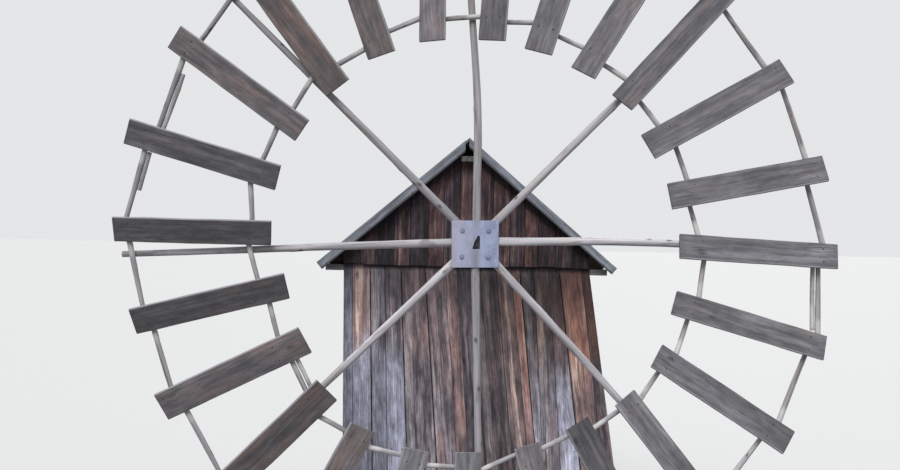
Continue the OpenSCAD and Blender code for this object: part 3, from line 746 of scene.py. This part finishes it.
# Side wall. Its end boards stop under the tie beams.
def side_wall(name, node, side, seed):
    surf = Surface()
    tie_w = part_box("tie_front")[1].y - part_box("tie_front")[0].y
    rng = np.random.RandomState(seed)
    span = FRAME_BACK - FRAME_FRONT - 2 * tie_w
    inner = FRAME_FRONT + tie_w + span * uneven(rng, SIDE_BOARDS, WALL_SPREAD)
    edges = np.concatenate([[FRAME_FRONT], inner, [FRAME_BACK]])
    tones = tones_for(len(edges), seed + 1)
    for i in range(len(edges) - 1):
        foot = BOARD_FOOT + rng.uniform(0.0, FOOT_SPREAD)
        top = TIE_BOTTOM if i in (0, len(edges) - 2) else EAVES
        h = stations(foot, top - SLAB_MARGIN, 0.15)
        thick, back = in_slab(rng, *WALL_BOARD)
        x = side_x(side, h) - side * (back + thick / 2)
        mid, half = mid_half(edges[i], edges[i + 1])
        half -= rng.uniform(0.0009, 0.003)
        board(surf, upright(x, mid, h), AXIS_Y, side * AXIS_X, half, thick / 2, h,
              seed * 5 + i * 29, tones[i], edge=rng.uniform(0.001, 0.003), **FLAT)
        for row in NAIL_ROWS:
            face = side_x(side, row + foot) - side * (back + NAIL_SINK)
            at = (face, mid, row + foot)
            nail_pair(nails, at, NAIL_SIDE * half * AXIS_Y, side * AXIS_X)
    surf.finish(name, "mill_house", wall_wood, node, "wall_boards")


side_wall("left_wall_boards", "left_wall", LEFT, 83)
side_wall("right_wall_boards", "right_wall", RIGHT, 131)


# Cuts the shaft's hole through gable boards, which then get their attributes again
def bore(obj, y_face, facing, edges, tones):
    round_cut = Surface()
    stud(round_cut, (0, y_face - facing * 0.1, HUB[2]), (0, facing, 0),
         [(SHAFT_HOLE, 0.0), (SHAFT_HOLE, 0.2)], sides=40)
    cutter = round_cut.finish("hole_cutter", "mill_house", gable_wood)
    hole = obj.modifiers.new("hole", "BOOLEAN")
    hole.operation, hole.object, hole.solver = "DIFFERENCE", cutter, "EXACT"
    graph = bpy.context.evaluated_depsgraph_get()
    made = bpy.data.meshes.new_from_object(obj.evaluated_get(graph))
    obj.modifiers.clear()
    obj.data = made
    bpy.data.objects.remove(cutter)
    co = np.zeros(len(made.vertices) * 3, np.float32)
    made.vertices.foreach_get("co", co)
    x, y, z = co.reshape(-1, 3).T
    which = np.clip(np.searchsorted(edges, x) - 1, 0, len(edges) - 2)
    low, high = np.array(edges)[which], np.array(edges)[which + 1]
    values = {
        "grain": (z + 3.1 * which, x, y + 1.7 * which),
        "place": (z - EAVES, roof_under(x) - z, (2 * x - low - high) / (high - low)),
        "tone": np.array(tones)[which % len(tones)].T,
    }
    for key, value in values.items():
        layer = made.attributes.get(key)
        if layer:
            made.attributes.remove(layer)
        write_attribute(made, key, np.stack(value, -1))


ROOF_GAP = 0.003
GABLE_NAILS = (0.045, 0.35)
NAIL_UNDER_ROOF = 0.06
NAIL_SHARE = 0.54


# Gable boards, cut to the slope of the roof and to the ridge beam, with the shaft's hole
def gable(name, node, y_face, facing, edges, tones, seed, hole):
    surf, bored = Surface(), Surface()
    out = facing * AXIS_Y
    rise = stations(0.0, 1.0, 0.14)
    for i, (xl, xr) in enumerate(zip(edges, edges[1:])):
        rng = np.random.RandomState(seed + i)
        foot = EAVES + rng.uniform(0.0, 0.022)
        thick, back = in_slab(rng, *WALL_BOARD)
        mid, half = mid_half(xl, xr)
        y = y_face - facing * (back + thick / 2)
        under_ridge = abs(mid - ROOF_X) < 0.02
        top = RIDGE_LOW - SLAB_MARGIN if under_ridge else roof_under(mid) - ROOF_GAP
        h = foot + rise * (top - foot)

        def slope(prof, mid=mid, top=top):
            extra = (roof_under(mid + prof[..., 0]) - ROOF_GAP - top) * rise[:, None]
            return extra[..., None] * AXIS_Z

        crosses = hole and xl < SHAFT_HOLE and xr > -SHAFT_HOLE
        board(bored if crosses else surf, upright(mid, y, h), AXIS_X, out,
              half - rng.uniform(0.0004, 0.0016), thick / 2, h, seed * 3 + i * 37,
              tones[i % len(tones)], lift=None if under_ridge else slope, edge=0.0015, **FLAT)
        for row in GABLE_NAILS:
            if foot + row < min(roof_under(xl), roof_under(xr)) - NAIL_UNDER_ROOF:
                at = (mid, y + facing * (thick / 2 - NAIL_SINK), foot + row)
                nail_pair(nails, at, NAIL_SHARE * half * AXIS_X, out)
    surf.finish(name, "mill_house", gable_wood, node, "gable_boards")
    if bored.count:
        obj = bored.finish(name + "_bored", "mill_house", gable_wood, node, "gable_boards")
        bore(obj, y_face, facing, edges, tones)


FRONT_GABLE = [
    ROOF_X - TOP_HALF, -1.10, -0.95, -0.79, -0.63, -0.45, -0.295, ROOF_X - RIDGE_HALF - 0.001,
    ROOF_X + RIDGE_HALF + 0.001, 0.20, 0.37, 0.52, 0.66, 0.83, 1.01, ROOF_X + TOP_HALF
]
GABLE_TONES = [
    (0.9, 0.1, 0.0), (1.05, 0.3, 0.05), (0.85, 0.1, 0.15), (1.05, 0.3, 0.05), (0.8, 0.05, 0.0),
    (1.05, 0.45, 0.0), (0.95, 0.2, 0.05), (1.0, 0.42, 0.0), (0.9, 0.3, 0.0), (1.05, 0.45, 0.0),
    (0.9, 0.25, 0.0), (0.95, 0.4, 0.05), (0.75, 0.2, 0.1), (0.72, 0.25, 0.05), (0.65, 0.1, 0.0)
]
gable("front_gable_boards", "front_gable", FRAME_FRONT - 2 * BOARD_T, -1, FRONT_GABLE,
      GABLE_TONES, 211, True)
gable("back_gable_boards", "back_gable", FRAME_BACK + 2 * BOARD_T, 1, FRONT_GABLE,
      GABLE_TONES[::-1], 307, False)

ROOF_BOARDS = 16
ROOF_SPREAD = 0.2
ROOF_LENGTH = ROOF_HALF / math.cos(PITCH)


# Direction down one side of the roof, and the one out of it
def roof_axes(side):
    down = np.array([side * math.cos(PITCH), 0, -math.sin(PITCH)])
    return down, np.array([side * math.sin(PITCH), 0, math.cos(PITCH)])


# Roof boards run from ridge to eaves, cut plumb at the ridge and square at the eaves
def roof_side(name, node, side, seed):
    surf = Surface()
    rng = np.random.RandomState(seed)
    y0, y1 = VERGE_FRONT + BARGE_T, VERGE_BACK - BARGE_T
    edges = y0 + (y1 - y0) * uneven(rng, ROOF_BOARDS, ROOF_SPREAD)
    down, out = roof_axes(side)
    tones = tones_for(ROOF_BOARDS, seed + 3, 0.12)
    for i in range(ROOF_BOARDS):
        length = ROOF_LENGTH - rng.uniform(0.0, 0.018)
        along = stations(0.0, length, 0.16)
        thick, gap = in_slab(rng, *ROOF_BOARD)
        depth = gap + thick / 2
        mid, half = mid_half(edges[i], edges[i + 1])
        start = np.array([ROOF_X, mid, ROOF_TOP]) - depth * out
        plumb = 1 - along / length

        def lift(prof, depth=depth, plumb=plumb):
            return (depth - prof[..., 1:]) * math.tan(PITCH) * plumb[:, None, None] * down

        board(surf, start + along[:, None] * down, AXIS_Y, out,
              half - rng.uniform(0.001, 0.003), thick / 2, along, seed * 3 + i * 41,
              tones[i], bow=0.001, lift=lift)
        for row in (0.14, 0.85, length - 0.32):
            at = start + row * down + (thick / 2 - DEEP_SINK) * out
            nail_pair(nails, at, NAIL_SHARE * half * AXIS_Y, out)
    surf.finish(name, "mill_house", roof_wood, node, "roof_boards")


roof_side("roof_boards_left", "roof_left", LEFT, 401)
roof_side("roof_boards_right", "roof_right", RIGHT, 503)

# Width, gap at the ridge and brightness of the barge board on each side
BARGES = ((LEFT, 0.088, 0.035, 1.14), (RIGHT, 0.080, 0.0002, 1.28))
BARGE_NAILS = (0.12, 0.7, 1.25, 1.8)


# Barge boards under the verges. The left ones stop short of the ridge.
def barges(name, node, y0, facing, seed):
    surf = Surface()
    for side, wide, gap, level in BARGES:
        down, up = roof_axes(side)
        along = stations(gap / math.cos(PITCH), ROOF_LENGTH, 0.07)
        plumb = (along[-1] - along) / (along[-1] - along[0])
        top = np.array([ROOF_X, y0 + BARGE_T / 2, ROOF_TOP]) - wide / 2 * up
        middle = top + along[:, None] * down

        def lift(prof, wide=wide, down=down, plumb=plumb):
            return (wide / 2 - prof[..., :1]) * math.tan(PITCH) * plumb[:, None, None] * down

        board(surf, middle, up, facing * AXIS_Y, wide / 2, BARGE_T / 2 - 0.0005, along,
              seed + side * 5, (level, 0.0, 0.2), bow=0.0005, lift=lift, wear=0.003, edge=0.001)
        for row in BARGE_NAILS:
            at = middle[0] + (row + wide / 2 * math.tan(PITCH)) * down
            at = at + facing * (BARGE_T / 2 - DEEP_SINK) * AXIS_Y
            nail_pair(nails, at, 0.25 * wide * up, facing * AXIS_Y)
    surf.finish(name, "mill_house", barge_wood, node, "barge_boards")


barges("barge_boards_front", "barge_front", VERGE_FRONT, -1, 601)
barges("barge_boards_back", "barge_back", VERGE_BACK - BARGE_T, 1, 607)
nails.finish("hut_nails", "mill_house", nail_metal)

# Frame timbers and metal parts keep their solids, with worn edges
SOLID_LOOKS = [
    (beam_x, ["sill_front", "sill_back", "wall_rails", "neck_beam", "tail_beam", "rafters"]),
    (beam_y, ["sill_left", "sill_right", "plate_left", "plate_right"]),
    (beam_z, ["post_front_left", "post_front_right", "post_back_left", "post_back_right"]),
    (tie_wood, ["tie_front", "tie_back"]),
    (ridge_wood, ["ridge_beam"]),
    (wedge_wood, ["vane_wedges"]),
    (iron, ["neck_bearing", "tail_bearing"]),
    (shaft_metal, ["windshaft"]),
    (hub_metal, ["hub_plate_front", "hub_plate_back"]),
]
WORN_WOOD, WORN_METAL = 0.004, 0.0015
WORN_ANGLE = math.radians(40)
WELD_GAP = 0.0001
for material, names in SOLID_LOOKS:
    for obj in (nodes[name] for name in names):
        obj.data.materials.clear()
        obj.data.materials.append(material)
        weld = obj.modifiers.new("weld", "WELD")
        weld.merge_threshold = WELD_GAP
        bevel = obj.modifiers.new("worn_edges", "BEVEL")
        bevel.width = WORN_METAL if material in (iron, shaft_metal, hub_metal) else WORN_WOOD
        bevel.segments = 2
        bevel.limit_method = "ANGLE"
        bevel.angle_limit = WORN_ANGLE


SAME_POINT = 1e-5


# Separate solids of a CAD node, each as its vertices
def islands(node):
    work = bmesh.new()
    work.from_mesh(nodes[node].data)
    bmesh.ops.remove_doubles(work, verts=work.verts, dist=SAME_POINT)
    seen, found = set(), []
    for start in work.verts:
        stack, group = [start], []
        while stack:
            v = stack.pop()
            if v not in seen:
                seen.add(v)
                group.append(v.co[:])
                stack += [e.other_vert(v) for e in v.link_edges]
        if group:
            found.append(np.array(group))
    work.free()
    return found


# Angle of a place round the wheel, anticlockwise from the right
def wheel_angle(p):
    return math.degrees(math.atan2(p[2] - HUB[2], p[0] - HUB[0])) % 360


# Ends and radii of a straight tapered pole, thin end first
def cone_ends(points):
    mid = points.mean(0)
    axis = np.linalg.svd(points - mid)[2][0]
    s = (points - mid) @ axis
    ends = []
    for near in (s < s.min() + 1e-3, s > s.max() - 1e-3):
        c = points[near].mean(0)
        ends.append((c, np.linalg.norm(points[near] - c, axis=1).max()))
    return sorted(ends, key=lambda end: end[1])


RIM_SLIM = 0.985
# Rim poles left of this x are darker
RIM_DARKER_X = -0.8
RIM_LEFT_LEVEL = 0.82
for node in ("inner_rim", "outer_rim"):
    surf = Surface()
    for points in sorted(islands(node), key=lambda p: wheel_angle(p.mean(0))):
        (a, ra), (b, rb) = cone_ends(points)
        seed = 117 + int(wheel_angle((a + b) / 2) * 7)
        length = np.linalg.norm(b - a)
        along = stations(0.0, length, 0.035, 0.003)
        t = along / length
        rng = np.random.RandomState(seed)
        sag = rng.uniform(-0.006, 0.006)
        side = np.cross(b - a, AXIS_Y) / length
        middle = a + t[:, None] * (b - a) + (sag * np.sin(math.pi * t))[:, None] * side
        radius = (ra + (rb - ra) * t) * RIM_SLIM
        level = RIM_LEFT_LEVEL if (a + b)[0] / 2 < RIM_DARKER_X else 1.0
        pole(surf, middle, radius, along, seed, sides=12, knots=rng.randint(1, 4), knot_h=0.0025,
             rough=0.035, tone=(level * rng.uniform(0.68, 0.84), rng.uniform(0.3, 0.9), 0))
    surf.finish(node + "_poles", "wheel", pole_wood, node, "peeled_pole")

# Some spokes are darker than the rest
SPOKE_LEVEL = [1.1, 0.8, 0.7, 0.6, 0.8, 1.05, 0.65, 0.9]
SPOKE_START = 0.13
SPOKE_SLIM = 0.98
# Spokes are measured outside the hub plates
HUB_CLEAR = 0.3


# Rings of points along a spoke's solid, from hub to tip: distances, centres and radii
def spoke_rings(points):
    points = points - HUB
    out = unit(points.mean(0) * (1, 0, 1))
    for _ in range(3):
        far = points @ out
        tip = points[far > far.max() - 0.02].mean(0)
        root = points[(far > HUB_CLEAR) & (far < HUB_CLEAR + 0.2)].mean(0)
        out = unit(tip - root)
    far = points @ out
    order = np.argsort(far)
    groups = np.split(order, np.flatnonzero(np.diff(far[order]) > 0.03) + 1)
    rings = [points[g] for g in groups if len(g) >= 10 and far[g].mean() > HUB_CLEAR]
    centres = np.array([(r.max(0) + r.min(0)) / 2 for r in rings])
    radii = np.array([np.linalg.norm(r - c, axis=1).max() for r, c in zip(rings, centres)])
    return centres @ out, centres + HUB, radii


# A spoke follows the middle of its solid, carried on straight to its start behind the plates
for k, level in enumerate(SPOKE_LEVEL, 1):
    node = f"spoke_{k}"
    s, centres, radii = spoke_rings(islands(node)[0])
    tip = s[-1]
    along = np.concatenate([
        [SPOKE_START], np.arange(SPOKE_START + 0.03, tip - 0.01, 0.045), [tip - 0.004, tip]])
    fit = [np.polyfit(s, centres[:, j], 5) for j in range(3)]
    before = np.minimum(along - s[0], 0)
    middle = np.stack([np.polyval(f, np.maximum(along, s[0])) for f in fit], -1)
    middle += before[:, None] * np.array([np.polyval(np.polyder(f), s[0]) for f in fit])
    taper = (radii[1] - radii[0]) / (s[1] - s[0])
    radius = (np.interp(along, s, radii) + before * taper) * SPOKE_SLIM
    surf = Surface()
    pole(surf, middle, radius, along, 700 + k * 17, sides=20, knots=7, knot_h=0.005, rough=0.02,
         tone=(level, 0, 0))
    surf.finish(node + "_pole", "wheel", pole_wood, node, "peeled_pole")

# Brightness and warm share of the twenty-four boards, anticlockwise from the right. The
# brightness is partly the boards' own tone and partly painted shade, mostly darker on the left
# where the boards face down.
VANE_LEVEL_AND_SHADE = [
    0.80, 0.70, 0.70, 0.65, 0.85, 0.80, 0.75, 0.95, 0.70, 0.60, 0.85, 0.55,
    0.45, 0.45, 0.75, 0.55, 0.85, 1.25, 0.95, 0.85, 0.45, 0.85, 0.70, 0.70
]
VANE_WARM = [
    0.0, 0.1, 0.1, 0.15, 0.15, 0.1, 0.15, 0.25, 0.3, 0.35, 0.25, 0.1,
    0.1, 0.15, 0.25, 0.35, 0.3, 0.1, 0.05, 0.25, 0.1, 0.05, 0.05, 0.0
]
VANE_STEP = 360 / len(VANE_LEVEL_AND_SHADE)
wheel_nails = Surface()
RIM_RADII = (2.06, 3.155)


# Direction turned round where it points the other way from a second one
def along_with(direction, wanted):
    return direction if direction @ wanted > 0 else -direction


for k in range(1, 9):
    node = f"vanes_{k}"
    surf = Surface()
    for points in islands(node):
        mid = points.mean(0)
        along_dir, across_dir, out_dir = np.linalg.svd(points - mid)[2]
        along_dir = along_with(along_dir, mid - HUB)
        across_dir = along_with(across_dir, AXIS_Y)
        out_dir = along_with(out_dir, -AXIS_Y)
        half = [np.abs((points - mid) @ d).max() for d in (along_dir, across_dir, out_dir)]
        index = int(round(wheel_angle(mid) / VANE_STEP + 0.1)) % len(VANE_LEVEL_AND_SHADE)
        seed = 900 + index * 53
        rng = np.random.RandomState(seed)
        along = stations(-half[0], half[0], 0.05)
        skew = rng.uniform(-0.012, 0.012, 2)

        # The ends are cut a little out of square
        def lift(prof, along=along, skew=skew, half=half, along_dir=along_dir):
            end = np.clip((np.abs(along) - half[0] + 0.06) / 0.06, 0, 1)
            cut = np.where(along > 0, skew[1], skew[0])
            pull = -np.sign(along) * np.abs(cut) * end
            lean = prof[..., 0] / half[1] * np.sign(cut)[:, None]
            return ((0.5 + 0.5 * lean) * pull[:, None])[..., None] * along_dir

        board(surf, mid + along[:, None] * along_dir, across_dir, out_dir, half[1], half[2],
              along, seed, (VANE_LEVEL_AND_SHADE[index], VANE_WARM[index], rng.uniform(0.15, 0.4)),
              bow=0.002, lift=lift, wear=0.005, edge=0.004)
        for r in RIM_RADII:
            place = r - np.hypot(*(mid - HUB)[[0, 2]])
            at = mid + place * along_dir + (half[2] - BIG_SINK) * out_dir
            nail_pair(wheel_nails, at, half[1] / 2 * across_dir, out_dir, BIG_NAIL)
    surf.finish(f"vane_boards_{k}", "wheel", vane_wood, node, "vane_boards")
wheel_nails.finish("wheel_nails", "wheel", nail_metal)

# Bolts through the hub plates, each with a washer under its head
BOLT_OFF = 0.12
WASHER = [(0.023, -0.001), (0.023, 0.0025), (0.021, 0.0035), (0.01, 0.0035)]
BOLT_HEAD = [(0.0165, 0.0035), (0.0165, 0.0125), (0.0145, 0.0145), (0.006, 0.0145)]
BOLT_TAIL = [(0.008, 0.014), (0.008, 0.03), (0.0065, 0.032), (0.003, 0.032)]
bolts = Surface()
front_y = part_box("hub_plate_front")[0].y
back_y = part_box("hub_plate_back")[1].y
for x in (-BOLT_OFF, BOLT_OFF):
    for z in (-BOLT_OFF, BOLT_OFF):
        for y, facing in ((front_y, -1), (back_y, 1)):
            at = (HUB[0] + x, y, HUB[2] + z)
            out = facing * AXIS_Y
            stud(bolts, at, out, WASHER, sides=24)
            stud(bolts, at, out, BOLT_HEAD, sides=6, turn=0.3 + x * 4 + z * 9)
            if y == back_y:
                stud(bolts, at, out, BOLT_TAIL, sides=16)
bolts.finish("hub_bolts", "wheel", bolt_metal, smooth=False)

# Bolts of the bearings' feet, and a plug on the top of each bearing
FOOT_IN, FOOT_TOP = 0.028, 0.022
FOOT_WASHER = [(0.018, -0.001), (0.018, 0.003), (0.016, 0.0035), (0.008, 0.0035)]
FOOT_BOLT = [(0.013, 0.003), (0.013, 0.012), (0.011, 0.0135), (0.005, 0.0135)]
OIL_PLUG = [(0.009, 0.0), (0.009, 0.01), (0.006, 0.013), (0.002, 0.016)]
small = Surface()
for node in ("neck_bearing", "tail_bearing"):
    low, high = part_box(node)
    mid_y = (low.y + high.y) / 2
    for x in (low.x + FOOT_IN, high.x - FOOT_IN):
        at = (x, mid_y, low.z + FOOT_TOP)
        stud(small, at, AXIS_Z, FOOT_WASHER, sides=20)
        stud(small, at, AXIS_Z, FOOT_BOLT, sides=6)
    stud(small, (0, mid_y, high.z - 0.001), AXIS_Z, OIL_PLUG, sides=12)
small.finish("bearing_bolts", "mill_house", bolt_metal, smooth=False)

# Floor, sky, lights and camera
FLOOR_HALF = 300.0
FLOOR_Z = -0.001
FLOOR_GREY = (0.2, 0.2, 0.2, 1)
FLOOR_SHOWN = (0.4, 0.4, 0.398, 1)
SKY_COLOUR = (0.97, 0.985, 1.0, 1.0)
SKY_AT_HORIZON, SKY_OVERHEAD, SKY_SHOWN = 0.3, 1.5, 0.8
scene = bpy.context.scene
scene.view_settings.view_transform = "Standard"
floor_mesh = bpy.data.meshes.new("floor")
corners = [(-1, -1), (1, -1), (1, 1), (-1, 1)]
floor_mesh.from_pydata([(x * FLOOR_HALF, y * FLOOR_HALF, FLOOR_Z) for x, y in corners], [],
                       [(0, 1, 2, 3)])
placed("floor", floor_mesh)
paint = Shader("plain_floor", FLOOR_GREY)
paint.lay(paint.shown(), FLOOR_SHOWN)
paint.put(paint.colour, paint.bsdf.inputs["Base Color"])
paint.bsdf.inputs["Roughness"].default_value = 0.9
floor_mesh.materials.append(paint.material)

world = bpy.data.worlds.new("soft_sky")
scene.world = world
world.use_nodes = True
sky = Nodes(world.node_tree)
height = sky.split(sky.node("ShaderNodeTexCoord").outputs["Generated"])[2]
light = sky.between(height, 0.0, 1.0, SKY_AT_HORIZON, SKY_OVERHEAD, kind="LINEAR")
strength = sky.node("ShaderNodeMix", {0: sky.shown(), 2: light, 3: SKY_SHOWN}, data_type="FLOAT")
background = sky.tree.nodes["Background"]
background.inputs["Color"].default_value = SKY_COLOUR
sky.put(strength.outputs[0], background.inputs["Strength"])


# Wide soft light that falls evenly on the whole floor
def soft_light(name, source, spread, strength):
    data = bpy.data.lights.new(name, "SUN")
    data.angle, data.energy = math.radians(spread), strength
    obj = placed(name, data)
    obj.rotation_euler = (-Vector(source)).to_track_quat("-Z", "Y").to_euler()


soft_light("high_front", (-6.5, -23.0, 23.5), 34, 3.0)
soft_light("rear_fill", (9.0, 27.0, 16.5), 40, 1.3)

CAMERA_AT = (-0.232, -10.170, 4.028)
CAMERA_ROLL = math.radians(1.2)
cam_data = bpy.data.cameras.new("camera")
cam_data.sensor_width, cam_data.lens = 36.0, 40.0
cam_data.clip_start, cam_data.clip_end = 0.1, 900.0
camera = placed("camera", cam_data)
camera.matrix_world = (
    Matrix.Translation(CAMERA_AT)
    @ Matrix.Rotation(math.radians(90), 4, "X")
    @ Matrix.Rotation(CAMERA_ROLL, 4, "Z")
)
scene.camera = camera
